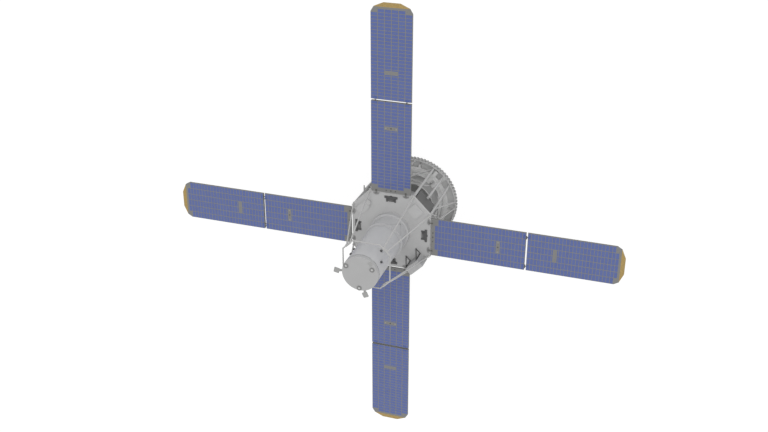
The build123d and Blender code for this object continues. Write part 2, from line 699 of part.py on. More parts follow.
FOOT_OUTER_R = DECK_HALF - HINGE_FOOT_SETBACK
FOOT_INNER_R = FOOT_OUTER_R - HINGE_FOOT_D
with BuildPart() as root_hinge_brackets:
    for _, angle in WINGS:
        for across in (-ROOT_HINGE_OFFSET, ROOT_HINGE_OFFSET):
            with BuildSketch(plan_plane(angle, DECK_TOP_Z)) as foot:
                with BuildLine():
                    tips = Line(
                        (FOOT_OUTER_R, across - HINGE_FOOT_W / 2),
                        (FOOT_OUTER_R, across + HINGE_FOOT_W / 2),
                    )
                    left = Line(tips @ 1, tips @ 1 - Vector(HINGE_FOOT_END_D, 0))
                    right = Line(tips @ 0, tips @ 0 - Vector(HINGE_FOOT_END_D, 0))
                    ThreePointArc(left @ 1, (FOOT_INNER_R, across), right @ 1)
                make_face()
            extrude(foot.sketch, amount=HINGE_FOOT_T)
            for cheek in (across - ROOT_PITCH, across + ROOT_PITCH):
                with BuildSketch(side_plane(angle, -cheek - ROOT_KNUCKLE_W / 2)) as section:
                    with BuildLine():
                        Polyline(
                            (FOOT_OUTER_R - HINGE_ARM_ROOT_D, DECK_TOP_Z),
                            (FOOT_OUTER_R, DECK_TOP_Z),
                            (ROOT_AXIS_R, HINGE_Z - KNUCKLE_R),
                            (ROOT_AXIS_R, HINGE_Z),
                            (ROOT_AXIS_R - KNUCKLE_R, HINGE_Z),
                            (FOOT_OUTER_R - HINGE_ARM_ROOT_D, DECK_TOP_Z + HINGE_FOOT_T),
                            close=True,
                        )
                    make_face()
                    with Locations((ROOT_AXIS_R, HINGE_Z)):
                        Circle(KNUCKLE_R)
                extrude(section.sketch, amount=ROOT_KNUCKLE_W)
            pin(angle, across, ROOT_STACK_W, ROOT_AXIS_R)
save(root_hinge_brackets.part, "root_hinge_brackets")

# ---- Wings -----------------------------------------------------------------------------------
PANEL_BOTTOM_Z = CELL_FACE_Z - PANEL_T
for name, angle in WINGS:
    with BuildPart() as inner_panel:
        with BuildSketch(plan_plane(angle, PANEL_BOTTOM_Z)):
            with Locations(((ROOT_R + INNER_END_R) / 2, 0)):
                Rectangle(INNER_END_R - ROOT_R, 2 * WING_HALF)
        extrude(amount=PANEL_T)
    save(inner_panel.part, f"inner_panel_{name}")

    with BuildPart() as inner_hinges:
        for across in (-ROOT_HINGE_OFFSET, ROOT_HINGE_OFFSET):
            leaf(angle, across, ROOT_STACK_W, ROOT_R, ROOT_R + LEAF_REACH)
            knuckle(angle, across, ROOT_KNUCKLE_W, ROOT_AXIS_R, ROOT_R, BORE_R)
        for across in (-MID_HINGE_OFFSET, MID_HINGE_OFFSET):
            leaf(angle, across, MID_STACK_W, INNER_END_R, INNER_END_R - LEAF_REACH)
            for cheek in (across - MID_PITCH, across + MID_PITCH):
                knuckle(angle, cheek, MID_KNUCKLE_W, MID_AXIS_R, INNER_END_R)
            pin(angle, across, MID_STACK_W, MID_AXIS_R)
    save(inner_hinges.part, f"inner_hinges_{name}")

    with BuildPart() as outer_panel:
        with BuildSketch(plan_plane(angle, PANEL_BOTTOM_Z)):
            with BuildLine():
                Polyline(
                    (OUTER_START_R, -WING_HALF),
                    (CHAMFER_R, -WING_HALF),
                    (TIP_START_R, -TIP_START_HALF),
                    (TIP_START_R, TIP_START_HALF),
                    (CHAMFER_R, WING_HALF),
                    (OUTER_START_R, WING_HALF),
                    close=True,
                )
            make_face()
        extrude(amount=PANEL_T)
    save(outer_panel.part, f"outer_panel_{name}")

    with BuildPart() as outer_hinges:
        for across in (-MID_HINGE_OFFSET, MID_HINGE_OFFSET):
            leaf(angle, across, MID_STACK_W, OUTER_START_R, OUTER_START_R + LEAF_REACH)
            knuckle(angle, across, MID_KNUCKLE_W, MID_AXIS_R, OUTER_START_R, BORE_R)
    save(outer_hinges.part, f"outer_hinges_{name}")

    with BuildPart() as wing_tip:
        with BuildSketch(plan_plane(angle, PANEL_BOTTOM_Z)):
            with BuildLine():
                Polyline(
                    (TIP_START_R, -TIP_START_HALF),
                    (TIP_R, -TIP_HALF),
                    (TIP_R, TIP_HALF),
                    (TIP_START_R, TIP_START_HALF),
                    close=True,
                )
            make_face()
        extrude(amount=PANEL_T)
    save(wing_tip.part, f"wing_tip_{name}")
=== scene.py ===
"""Finishes and fine fittings of a solar-observing satellite with four folding wings.

Everything is in metres, in the part's own frame: +Z runs along the tube to its lid, X and Y run
along the wings, and the origin is the centre of the separation ring's bottom face.
"""

from math import cos, pi, radians, sin

import bpy
from mathutils import Matrix, Vector


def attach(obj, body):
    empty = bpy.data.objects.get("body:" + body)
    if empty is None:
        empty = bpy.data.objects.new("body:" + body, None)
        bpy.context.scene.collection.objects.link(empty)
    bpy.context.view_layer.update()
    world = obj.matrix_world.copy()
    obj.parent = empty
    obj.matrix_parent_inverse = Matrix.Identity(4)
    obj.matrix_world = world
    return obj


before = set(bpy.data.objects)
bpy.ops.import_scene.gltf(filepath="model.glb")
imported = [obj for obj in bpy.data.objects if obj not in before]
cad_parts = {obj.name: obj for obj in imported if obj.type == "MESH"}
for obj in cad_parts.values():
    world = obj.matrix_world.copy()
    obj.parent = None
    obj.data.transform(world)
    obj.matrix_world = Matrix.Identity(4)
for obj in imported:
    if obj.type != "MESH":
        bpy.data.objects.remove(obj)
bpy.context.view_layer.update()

# Directions about the axis, in degrees
WINGS = (("px", 0), ("py", 90), ("nx", 180), ("ny", 270))
CORNERS = (("px_py", 45), ("nx_py", 135), ("nx_ny", 225), ("px_ny", 315))

# Faces that the fittings sit on
PANEL_TOP_Z = 1.005
DECK_TOP_Z = 0.991
LID_TOP_Z = 2.143
TUBE_R = 0.2205


# ---- Shop tools: frames, shapes and pieces ---------------------------------------------------
# Shares of a screw head's own height, and then of its radius
SCREW_SUNK = 0.2
SCREW_SHOULDER = 0.8
SCREW_SOCKET_FLOOR = 0.4
SCREW_FACE = 0.86
SCREW_SOCKET = 0.5
SCREW_SIDES = 12
CREASE = radians(35)


def spot(direction, out, height):
    """Point at a distance from the axis, in a direction in degrees."""
    return Vector((out * cos(radians(direction)), out * sin(radians(direction)), height))


def steps(count, first=0.0):
    """Directions that share the circle evenly, in degrees."""
    return [first + number * 360 / count for number in range(count)]


def seat(direction, out, across, height, turn=0):
    """Frame on a level face: x outwards, y to the left along the hinge line, z up."""
    place = Matrix.Rotation(radians(direction), 4, "Z") @ Matrix.Translation((out, across, height))
    return place @ Matrix.Rotation(radians(turn), 4, "Z")


def wall_seat(direction, out, across, height):
    """Frame on an upright face: z outwards, y up, x along the face."""
    upright = Matrix(((0, 0, 1, 0), (1, 0, 0, 0), (0, 1, 0, 0), (0, 0, 0, 1)))
    return seat(direction, out, across, height) @ upright


class Bench:
    """Gathers shapes until they become one piece."""

    def __init__(self):
        self.points = []
        self.faces = []
        self.finishes = []

    def add(self, place, points, faces, finish=0):
        """Points and faces, with the number of the material that they take."""
        first = len(self.points)
        self.points += [place @ Vector(p) for p in points]
        self.faces += [[first + i for i in face] for face in faces]
        self.finishes += [finish] * len(faces)

    def stack(self, place, rings, finish=0, closed=True):
        """Skin through rings of points that each run the same way round."""
        count = len(rings[0])
        points = [p for ring in rings for p in ring]
        faces = []
        for row in range(len(rings) - 1):
            low, high = row * count, (row + 1) * count
            for i in range(count):
                j = (i + 1) % count
                faces.append((low + i, low + j, high + j, high + i))
        if closed:
            faces.append(tuple(reversed(range(count))))
            faces.append(tuple(range(len(points) - count, len(points))))
        self.add(place, points, faces, finish)

    def block(self, place, size, edge=0.0, finish=0):
        """Block that stands on its frame, with its upper edges cut back."""
        x, y, z = size[0] / 2, size[1] / 2, size[2]
        levels = [(x, y, 0)]
        if edge:
            levels.append((x, y, z - edge))
        levels.append((x - edge, y - edge, z))
        rings = [[(a, b, c), (-a, b, c), (-a, -b, c), (a, -b, c)] for a, b, c in levels]
        self.stack(place, rings, finish)

    def turned(self, place, profile, sides=24, finish=0, closed=True):
        """Shape turned about its frame's z from a profile of (radius, height)."""
        turns = [(cos(2 * pi * i / sides), sin(2 * pi * i / sides)) for i in range(sides)]
        rings = [[(radius * x, radius * y, height) for x, y in turns] for radius, height in profile]
        self.stack(place, rings, finish, closed)

    def cap_screw(self, place, radius, height, finish=0):
        """Round screw head with its edge cut back and a socket in it."""
        profile = (
            (radius, -height * SCREW_SUNK),
            (radius, height * SCREW_SHOULDER),
            (radius * SCREW_FACE, height),
            (radius * SCREW_SOCKET, height),
            (radius * SCREW_SOCKET, height * SCREW_SOCKET_FLOOR),
        )
        self.turned(place, profile, SCREW_SIDES, finish)

    def mesh(self, name):
        """The gathered shapes as one mesh."""
        mesh = bpy.data.meshes.new(name)
        mesh.from_pydata(self.points, [], self.faces)
        return mesh

    def piece(self, name, body, materials):
        """The finished piece, riding on its body."""
        mesh = self.mesh(name)
        for material in materials:
            mesh.materials.append(material)
        mesh.polygons.foreach_set("material_index", self.finishes)
        mesh.validate()
        mesh.shade_smooth()
        mesh.set_sharp_from_angle(angle=CREASE)
        made = shown(name, mesh)
        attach(made, body)


def shown(name, data):
    """New object of a mesh, lamp or camera, in the scene."""
    made = bpy.data.objects.new(name, data)
    bpy.context.scene.collection.objects.link(made)
    return made


# ---- Nodes -----------------------------------------------------------------------------------
def add_node(tree, kind, values=(), **settings):
    """New node with its settings; values are (input, number or the socket that feeds it)."""
    node = tree.nodes.new(kind)
    for key, value in settings.items():
        setattr(node, key, value)
    for key, value in values:
        if isinstance(value, bpy.types.NodeSocket):
            tree.links.new(value, node.inputs[key])
        else:
            node.inputs[key].default_value = value
    return node


def arithmetic(tree, operation, *terms):
    """Result socket of a Math node."""
    return add_node(tree, "ShaderNodeMath", list(enumerate(terms)), operation=operation).outputs[0]


def vector_work(tree, operation, *terms):
    """Node for work on vectors."""
    return add_node(tree, "ShaderNodeVectorMath", list(enumerate(terms)), operation=operation)


def ranged(tree, value, low, high, to_low=0.0, to_high=1.0):
    """Value mapped from one range to another and held inside it."""
    terms = [(0, value), (1, low), (2, high), (3, to_low), (4, to_high)]
    return add_node(tree, "ShaderNodeMapRange", terms).outputs[0]


def blended(tree, share, first, second):
    """Colour between two colours or sockets."""
    terms = [(0, share), (6, first), (7, second)]
    return add_node(tree, "ShaderNodeMix", terms, data_type="RGBA").outputs[2]


def shaded(colour, by=1.0):
    """Colour made lighter or darker by a factor."""
    return (colour[0] * by, colour[1] * by, colour[2] * by, 1)


def varied(tree, shade, colour, spread):
    """Colour that goes from darker to lighter with the shade, by a share of itself."""
    return blended(tree, shade, shaded(colour, 1 - spread), shaded(colour, 1 + spread))


def own_point(tree):
    """The shaded point in its own object's frame."""
    return add_node(tree, "ShaderNodeTexCoord").outputs["Object"]


def xyz_of(tree, vector):
    """The three numbers of a vector."""
    return add_node(tree, "ShaderNodeSeparateXYZ", [(0, vector)]).outputs


def axis_distance(tree, x, y):
    """Distance from the axis."""
    level = add_node(tree, "ShaderNodeCombineXYZ", [(0, x), (1, y)]).outputs[0]
    return vector_work(tree, "LENGTH", level).outputs["Value"]


def facing_up(tree):
    """How far the surface faces up in its own object's frame."""
    face = add_node(tree, "ShaderNodeNewGeometry").outputs["Normal"]
    local = add_node(
        tree, "ShaderNodeVectorTransform", [(0, face)],
        vector_type="NORMAL", convert_from="WORLD", convert_to="OBJECT",
    ).outputs[0]
    return xyz_of(tree, local)[2]


# ---- Shared surface effects ------------------------------------------------------------------
def effect(name, inputs, outputs):
    """Empty node group with number inputs (name, default) and number outputs."""
    group = bpy.data.node_groups.new(name, "ShaderNodeTree")
    for label, default in inputs:
        socket = group.interface.new_socket(label, in_out="INPUT", socket_type="NodeSocketFloat")
        socket.default_value = default
    for label in outputs:
        group.interface.new_socket(label, in_out="OUTPUT", socket_type="NodeSocketFloat")
    given = group.nodes.new("NodeGroupInput").outputs
    return group, given, group.nodes.new("NodeGroupOutput").inputs


def clouds(tree, vector, scale, detail, **more):
    """Outputs of a cloudy noise."""
    values = [("Vector", vector), ("Scale", scale), ("Detail", detail), *more.items()]
    return add_node(tree, "ShaderNodeTexNoise", values).outputs


def build_edge_wear():
    """Mask that is 1 where corners have been rubbed."""
    corner_cosines = (0.985, 0.8)
    broken_by = (0.4, 0.62)
    group, given, result = effect("edge_wear", (("Reach", 0.002), ("Amount", 0.5)), ("Mask",))
    rounded = add_node(group, "ShaderNodeBevel", [("Radius", given["Reach"])], samples=4)
    face = add_node(group, "ShaderNodeNewGeometry").outputs["Normal"]
    turn = vector_work(group, "DOT_PRODUCT", rounded.outputs[0], face).outputs["Value"]
    corner = ranged(group, turn, *corner_cosines)
    patches = clouds(group, own_point(group), scale=90.0, detail=4.0)["Fac"]
    broken = ranged(group, patches, *broken_by)
    worn = arithmetic(group, "MULTIPLY", corner, broken)
    group.links.new(arithmetic(group, "MULTIPLY", worn, given["Amount"]), result["Mask"])
    return group


def build_paint_grain():
    """Fine orange-peel height, and a cloudy shade between 0 and 1."""
    group, given, result = effect(
        "paint_grain", (("Grain", 700.0), ("Cloud", 6.0)), ("Height", "Shade")
    )
    where = own_point(group)
    fine = clouds(group, where, given["Grain"], detail=3.0)["Fac"]
    cloud = clouds(group, where, given["Cloud"], detail=5.0, Roughness=0.6)["Fac"]
    group.links.new(fine, result["Height"])
    group.links.new(ranged(group, cloud, low=0.3, high=0.7), result["Shade"])
    return group


def build_foil_crinkle():
    """Creased height of thin film, and a mask along its folds."""
    drift_by = 0.05
    fold_width = 0.06
    fold_sunk = 0.35
    group, given, result = effect("foil_crinkle", (("Scale", 30.0),), ("Height", "Fold"))
    where = own_point(group)
    drift = vector_work(group, "SCALE", clouds(group, where, scale=9.0, detail=3.0)["Color"])
    drift.inputs["Scale"].default_value = drift_by
    bent = vector_work(group, "ADD", where, drift.outputs[0]).outputs[0]
    creases = [("Vector", bent), ("Scale", given["Scale"])]
    facets = add_node(group, "ShaderNodeTexVoronoi", creases, feature="F1")
    edges = add_node(group, "ShaderNodeTexVoronoi", creases, feature="DISTANCE_TO_EDGE")
    fold = ranged(group, edges.outputs["Distance"], fold_width, 0.0)
    sunk = arithmetic(group, "MULTIPLY", fold, fold_sunk)
    height = arithmetic(group, "SUBTRACT", facets.outputs["Distance"], sunk)
    group.links.new(height, result["Height"])
    group.links.new(fold, result["Fold"])
    return group


def build_tool_marks():
    """Turning marks round the axis, as height and shade."""
    group, given, result = effect("tool_marks", (("Pitch", 500.0),), ("Height", "Shade"))
    x, y, z = xyz_of(group, own_point(group))
    radius = axis_distance(group, x, y)
    lanes = add_node(group, "ShaderNodeCombineXYZ", [(0, radius), (2, z)]).outputs[0]
    marks = clouds(group, lanes, given["Pitch"], detail=2.0)["Fac"]
    group.links.new(marks, result["Height"])
    group.links.new(ranged(group, marks, low=0.35, high=0.65), result["Shade"])
    return group


EDGE_WEAR = build_edge_wear()
PAINT_GRAIN = build_paint_grain()
FOIL_CRINKLE = build_foil_crinkle()
TOOL_MARKS = build_tool_marks()


def placed(tree, group, **inputs):
    """Outputs of a shared effect, placed in a material with its own values."""
    node = tree.nodes.new("ShaderNodeGroup")
    node.node_tree = group
    for label, value in inputs.items():
        node.inputs[label].default_value = value
    return node.outputs


# ---- Kinds of finish -------------------------------------------------------------------------
def blank(name, metal=0.0):
    """New material: its node tree and its shader."""
    material = bpy.data.materials.new(name)
    material.use_nodes = True
    shader = material.node_tree.nodes["Principled BSDF"]
    shader.inputs["Metallic"].default_value = metal
    return material, material.node_tree, shader


def coloured(tree, shader, colour):
    """Feeds a colour to the shader."""
    tree.links.new(colour, shader.inputs["Base Color"])


def roughened(tree, shader, shade, middle, spread):
    """Roughness that follows the shade, to both sides of a middle value."""
    rough = ranged(tree, shade, 0, 1, middle - spread, middle + spread)
    tree.links.new(rough, shader.inputs["Roughness"])


def bumped(tree, shader, height, strength, distance):
    """Feeds a height to the shader's normal."""
    values = [("Height", height), ("Strength", strength), ("Distance", distance)]
    bump = add_node(tree, "ShaderNodeBump", values)
    tree.links.new(bump.outputs[0], shader.inputs["Normal"])


def with_wall_light_and_shade(tree, shade, coat, side, spread):
    """The coat, with another colour on upright faces: painted light and shade on the walls."""
    wall = varied(tree, shade, side, spread)
    level = arithmetic(tree, "ABSOLUTE", facing_up(tree))
    upright = ranged(tree, level, low=0.3, high=0.7, to_low=1.0, to_high=0.0)
    return blended(tree, upright, coat, wall)


def painted(name, colour, rough, wear=0.3, bare=None, metal=0.0, side=None):
    """Paint or anodising: cloudy shade, fine grain and edges rubbed to the metal."""
    cloud_spread = 0.03
    material, tree, shader = blank(name, metal)
    surface = placed(tree, PAINT_GRAIN, Grain=700.0)
    corners = placed(tree, EDGE_WEAR, Reach=0.0015, Amount=wear)
    coat = varied(tree, surface["Shade"], colour, cloud_spread)
    # Upright faces take the side colour where one is given: painted light on the drum's walls.
    if side:
        coat = with_wall_light_and_shade(tree, surface["Shade"], coat, side, cloud_spread)
    worn = shaded(bare) if bare else shaded(colour, by=1.25)
    coloured(tree, shader, blended(tree, corners["Mask"], coat, worn))
    roughened(tree, shader, surface["Shade"], rough, spread=0.05)
    bumped(tree, shader, surface["Height"], strength=0.25, distance=0.0002)
    return material


# Heights and radii that bound the base's painted shade in its pockets and painted light on the
# floor round the drum
BASE_RIB_Z = (0.05, 0.03)
BASE_INNER_R = (0.425, 0.415)
BASE_TOP_Z = (0.079, 0.077)
BASE_FLOOR_Z = (0.0135, 0.0145)


def machined(name, colour, rough, metal, side, pocket_shade=None):
    """Turned or milled alloy with tool marks; painted shade on walls and in pockets, painted light
    round the drum.
    """
    lane_spread = 0.05
    material, tree, shader = blank(name, metal)
    marks = placed(tree, TOOL_MARKS, Pitch=500.0)
    corners = placed(tree, EDGE_WEAR, Reach=0.0012, Amount=0.3)
    lanes = varied(tree, marks["Shade"], colour, lane_spread)
    # Deep pockets take a darker colour: painted shade.
    if pocket_shade:
        x, y, height = xyz_of(tree, own_point(tree))
        lanes = blended(tree, ranged(tree, height, *BASE_RIB_Z), lanes, shaded(pocket_shade))
    # Upright faces take the darker side colour: painted shade on the ring's and base's walls.
    lanes = with_wall_light_and_shade(tree, marks["Shade"], lanes, side, lane_spread)
    # The floor round the drum takes 1.45 times the pocket colour: painted light.
    if pocket_shade:
        inside = ranged(tree, axis_distance(tree, x, y), *BASE_INNER_R)
        under_top = ranged(tree, height, *BASE_TOP_Z)
        above_floor = ranged(tree, height, *BASE_FLOOR_Z)
        inner = arithmetic(tree, "MULTIPLY", under_top, above_floor)
        inner = arithmetic(tree, "MULTIPLY", inside, inner)
        lanes = blended(tree, inner, lanes, shaded(pocket_shade, by=1.45))
    coloured(tree, shader, blended(tree, corners["Mask"], lanes, shaded(side, by=1.2)))
    roughened(tree, shader, marks["Shade"], rough, spread=0.06)
    bumped(tree, shader, marks["Height"], strength=0.2, distance=0.0001)
    return material


def film(name, colour, rough, creases, depth, fold, cloud_spread, metal=0.0):
    """Thin film: creases to the metre, their depth, and how much lighter the painted highlight
    along a fold is.
    """
    material, tree, shader = blank(name, metal)
    crinkle = placed(tree, FOIL_CRINKLE, Scale=creases)
    cloud = placed(tree, PAINT_GRAIN, Cloud=14.0)["Shade"]
    sheet = varied(tree, cloud, colour, cloud_spread)
    # Folds take a lighter colour: a painted highlight.
    coloured(tree, shader, blended(tree, crinkle["Fold"], sheet, shaded(colour, fold)))
    roughened(tree, shader, cloud, rough, spread=0.06)
    bumped(tree, shader, crinkle["Height"], strength=0.5, distance=depth)
    return material


def solar_cell_glass(name, along):
    """Blue cell under cover glass, with fine collector fingers across the string."""
    dark_cell, light_cell = (0.060, 0.096, 0.292), (0.067, 0.106, 0.309)
    cloud_blue, finger_silver = (0.058, 0.083, 0.28), (0.2, 0.22, 0.34)
    cloud_share, finger_share = 0.22, 0.28
    fingers_to_the_metre = 480.0
    material, tree, shader = blank(name)
    shader.inputs["Coat Weight"].default_value = 0.4
    shader.inputs["Coat Roughness"].default_value = 0.08
    run = xyz_of(tree, own_point(tree))[along]
    wave = arithmetic(tree, "FRACT", arithmetic(tree, "MULTIPLY", run, fingers_to_the_metre))
    fingers = ranged(tree, wave, low=0.78, high=0.86)
    island = add_node(tree, "ShaderNodeNewGeometry").outputs["Random Per Island"]
    cloud = placed(tree, PAINT_GRAIN, Cloud=18.0)["Shade"]
    cell = blended(tree, island, shaded(dark_cell), shaded(light_cell))
    clouded = arithmetic(tree, "MULTIPLY", cloud, cloud_share)
    cell = blended(tree, clouded, cell, shaded(cloud_blue))
    lined = arithmetic(tree, "MULTIPLY", fingers, finger_share)
    coloured(tree, shader, blended(tree, lined, cell, shaded(finger_silver)))
    roughened(tree, shader, cloud, middle=0.37, spread=0.05)
    bumped(tree, shader, fingers, strength=0.05, distance=0.0001)
    return material


def panel_facesheet(name, front, back):
    """Wing panel: painted in front, with painted shade on its edges, and woven behind."""
    weave_turn = 2600.0  # radians to the metre
    material, tree, shader = blank(name)
    x, y, _ = xyz_of(tree, own_point(tree))
    warp, weft = (
        arithmetic(tree, "SINE", arithmetic(tree, "MULTIPLY", run, weave_turn))
        for run in (x, y)
    )
    thread = ranged(tree, arithmetic(tree, "MULTIPLY", warp, weft), low=-1, high=1)
    upward = facing_up(tree)
    cloud = placed(tree, PAINT_GRAIN, Cloud=5.0)["Shade"]
    corners = placed(tree, EDGE_WEAR, Reach=0.002, Amount=0.35)
    front_coat = varied(tree, cloud, front, spread=0.04)
    back_weave = varied(tree, thread, back, spread=0.2)
    on_front = ranged(tree, upward, low=0.2, high=0.6)
    off_back = ranged(tree, upward, low=-0.6, high=-0.3)
    # Edges take 0.8 of the front colour: painted shade.
    coat = blended(tree, on_front, shaded(front, by=0.8), front_coat)
    coat = blended(tree, off_back, back_weave, coat)
    coloured(tree, shader, blended(tree, corners["Mask"], coat, shaded(front, by=1.3)))
    roughened(tree, shader, cloud, middle=0.56, spread=0.06)
    bumped(tree, shader, thread, strength=0.15, distance=0.0001)
    return material


# Distances from the mid hinge's axis at which a leaf's facing changes, and where leaves begin
MID_AXIS_R = 1.708
HINGE_GAP_ENDS = (0.0105, 0.0112)
HINGE_CELLS_START = (0.0152, 0.0158)
HINGE_NEAR_MIDDLE = (1.5, 1.51)


def hinge_finish(name, along, dark, face, cell):
    """Dark knuckles; the leaves between the panels are faced like the panel under them."""
    wear_share = 0.5
    material, tree, shader = blank(name, metal=0.15)
    surface = placed(tree, PAINT_GRAIN, Grain=700.0)
    corners = placed(tree, EDGE_WEAR, Reach=0.001, Amount=0.4)
    run = arithmetic(tree, "ABSOLUTE", xyz_of(tree, own_point(tree))[along])
    from_axis = arithmetic(tree, "ABSOLUTE", arithmetic(tree, "SUBTRACT", run, MID_AXIS_R))
    past_gap = ranged(tree, from_axis, *HINGE_GAP_ENDS)
    on_top = ranged(tree, facing_up(tree), low=0.3, high=0.6)
    on_leaf = arithmetic(tree, "MULTIPLY", past_gap, on_top)
    on_leaf = arithmetic(tree, "MULTIPLY", on_leaf, ranged(tree, run, *HINGE_NEAR_MIDDLE))
    over_cells = ranged(tree, from_axis, *HINGE_CELLS_START)
    facing = blended(tree, over_cells, shaded(face), shaded(cell))
    coat = blended(tree, on_leaf, varied(tree, surface["Shade"], dark, spread=0.04), facing)
    worn = arithmetic(tree, "MULTIPLY", corners["Mask"], wear_share)
    coloured(tree, shader, blended(tree, worn, coat, shaded(dark, by=1.6)))
    roughened(tree, shader, surface["Shade"], middle=0.42, spread=0.05)
    bumped(tree, shader, surface["Height"], strength=0.25, distance=0.0002)
    return material


# ---- Finishes --------------------------------------------------------------------------------
PANEL_GREY = (0.188, 0.188, 0.184)
HINGE_COLOURS = ((0.098, 0.096, 0.088), PANEL_GREY, (0.068, 0.106, 0.308))

cell_x = solar_cell_glass("solar_cells_along_x", 0)
cell_y = solar_cell_glass("solar_cells_along_y", 1)
facesheet = panel_facesheet("panel_facesheet", PANEL_GREY, (0.06, 0.06, 0.062))
# Folds in the gold foil are 1.25 times its colour: a painted highlight.
gold_foil = film(
    "gold_tip_foil", (0.352, 0.246, 0.086), 0.42,
    creases=24.0, depth=0.004, fold=1.25, cloud_spread=0.07, metal=0.35,
)
bracket_metal = painted("bracket_aluminium", (0.26, 0.26, 0.258), 0.42, wear=0.5, metal=0.3)
hinge_x = hinge_finish("hinge_anodised_along_x", 0, *HINGE_COLOURS)
hinge_y = hinge_finish("hinge_anodised_along_y", 1, *HINGE_COLOURS)
box_grey = painted("box_anodised_grey", (0.075, 0.075, 0.075), 0.5, wear=0.4)
black_fitting = painted(
    "fitting_black", (0.068, 0.068, 0.068), 0.5, wear=0.35, bare=(0.2, 0.2, 0.2)
)
# The drum's walls take a lighter colour than its top: painted light.
drum_dark = painted("drum_dark_paint", (0.195, 0.195, 0.193), 0.55, side=(0.36, 0.36, 0.36))
lens_rim = painted("lens_rim_satin", (0.2, 0.2, 0.198), 0.35, wear=0.2)
tube_blanket = film(
    "tube_thermal_wrap", (0.472, 0.473, 0.48), 0.5,
    creases=7.0, depth=0.0001, fold=1.01, cloud_spread=0.012,
)
collar_wrap = film(
    "collar_thermal_wrap", (0.449, 0.45, 0.456), 0.5,
    creases=14.0, depth=0.0001, fold=1.01, cloud_spread=0.012,
)
lid_white = painted("lid_white_paint", (0.392, 0.392, 0.392), 0.5, wear=0.2)
cover_white = painted("cover_white_paint", (0.445, 0.445, 0.445), 0.5, wear=0.2)
# The ring is lighter overall to make up for the shade under the deck, and its walls darker: painted
# light and painted shade.
ring_alloy = machined(
    "ring_turned_alloy", (0.58, 0.58, 0.575), 0.45, metal=0.1, side=(0.4, 0.4, 0.398)
)
# Painted light and shade: the base is lighter overall against the shade under the deck, its walls
# and pockets darker, the floor round the drum lighter.
base_alloy = machined(
    "base_milled_alloy", (0.7, 0.7, 0.695), 0.5, metal=0.05, side=(0.62, 0.62, 0.617),
    pocket_shade=(0.64, 0.64, 0.637),
)
antenna_grey = painted("antenna_grey_paint", (0.335, 0.335, 0.33), 0.5, wear=0.2)
bolt_dark = painted("bolt_dark_steel", (0.06, 0.06, 0.06), 0.4, metal=0.3)
screw_alloy = painted("screw_alloy", (0.62, 0.62, 0.615), 0.4, wear=0.2, metal=0.1)
bolt_plain = painted("bolt_plain_steel", (0.3, 0.3, 0.3), 0.35, wear=0.2, metal=0.4)
pad_white = painted("pad_white_paint", (0.29, 0.29, 0.28), 0.5, wear=0.1)
patch_grey = painted("lid_patch_film", (0.33, 0.33, 0.326), 0.45, wear=0.1)
rivet_grey = painted("rivet_grey", (0.2, 0.2, 0.196), 0.4, wear=0.2, metal=0.3)
screw_white = painted("screw_white_paint", (0.38, 0.38, 0.38), 0.45, wear=0.2)
screw_grey = painted("screw_dark_grey", (0.095, 0.095, 0.095), 0.4, wear=0.2, metal=0.2)
latch_grey = painted("latch_grey", (0.13, 0.13, 0.13), 0.4, metal=0.2)
dot_brown = painted("sensor_brown", (0.16, 0.135, 0.115), 0.4, wear=0.1)
# A black band stands for the shade in the lid's gap: painted shade.
gap_shade_black = painted("gap_shade_black", (0.02, 0.02, 0.02), 0.7, wear=0.05)
v_strip_grey = painted("tube_v_strip_grey", (0.31, 0.31, 0.31), 0.5, wear=0.1)
lens_light = painted("sensor_glass_light", (0.56, 0.56, 0.555), 0.15, wear=0.05)
seam_grey = film(
    "tube_seam_tape", (0.36, 0.36, 0.366), 0.5,
    creases=40.0, depth=0.0004, fold=1.02, cloud_spread=0.07,
)
truss_paint = painted("truss_white_paint", (0.40, 0.40, 0.40), 0.48, wear=0.2)
rod_paint = painted("frame_white_paint", (0.435, 0.433, 0.427), 0.48, wear=0.2)
# The deck's white is lighter than the lid's to make up for the shade of the tube and wings: painted
# light.
deck_white = painted("deck_white_paint", (0.428, 0.428, 0.428), 0.52, wear=0.25)

NODE_FINISH = {
    "separation_ring": ring_alloy,
    "ribbed_base": base_alloy,
    "detector_drum": drum_dark,
    # The drum rim takes the base's lighter alloy to make up for the shade it sits in: painted
    # light.
    "drum_rim": base_alloy,
    "deck": deck_white,
    "truss_posts": truss_paint,
    "truss_diagonals": truss_paint,
    "box_posts": truss_paint,
    "telescope_tube": tube_blanket,
    "front_lid": lid_white,
    "tube_collars": collar_wrap,
    "front_frame": rod_paint,
    "frame_struts": rod_paint,
    "hold_downs": black_fitting,
    "deck_covers": cover_white,
    "corner_unit": lid_white,
    "corner_unit_brackets": black_fitting,
    "lens_rings": lens_rim,
    "tube_knobs": black_fitting,
    "antennas": antenna_grey,
    "root_hinge_brackets": bracket_metal,
}
for corner, _ in CORNERS:
    NODE_FINISH[f"equipment_box_{corner}"] = box_grey
for wing, direction in WINGS:
    hinge_metal = hinge_x if direction % 180 == 0 else hinge_y
    NODE_FINISH[f"inner_panel_{wing}"] = facesheet
    NODE_FINISH[f"outer_panel_{wing}"] = facesheet
    NODE_FINISH[f"inner_hinges_{wing}"] = hinge_metal
    NODE_FINISH[f"outer_hinges_{wing}"] = hinge_metal
    NODE_FINISH[f"wing_tip_{wing}"] = gold_foil

for node, finish in NODE_FINISH.items():
    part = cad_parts[node]
    if not part.material_slots:
        part.data.materials.append(finish)
    for held in part.material_slots:
        held.material = finish


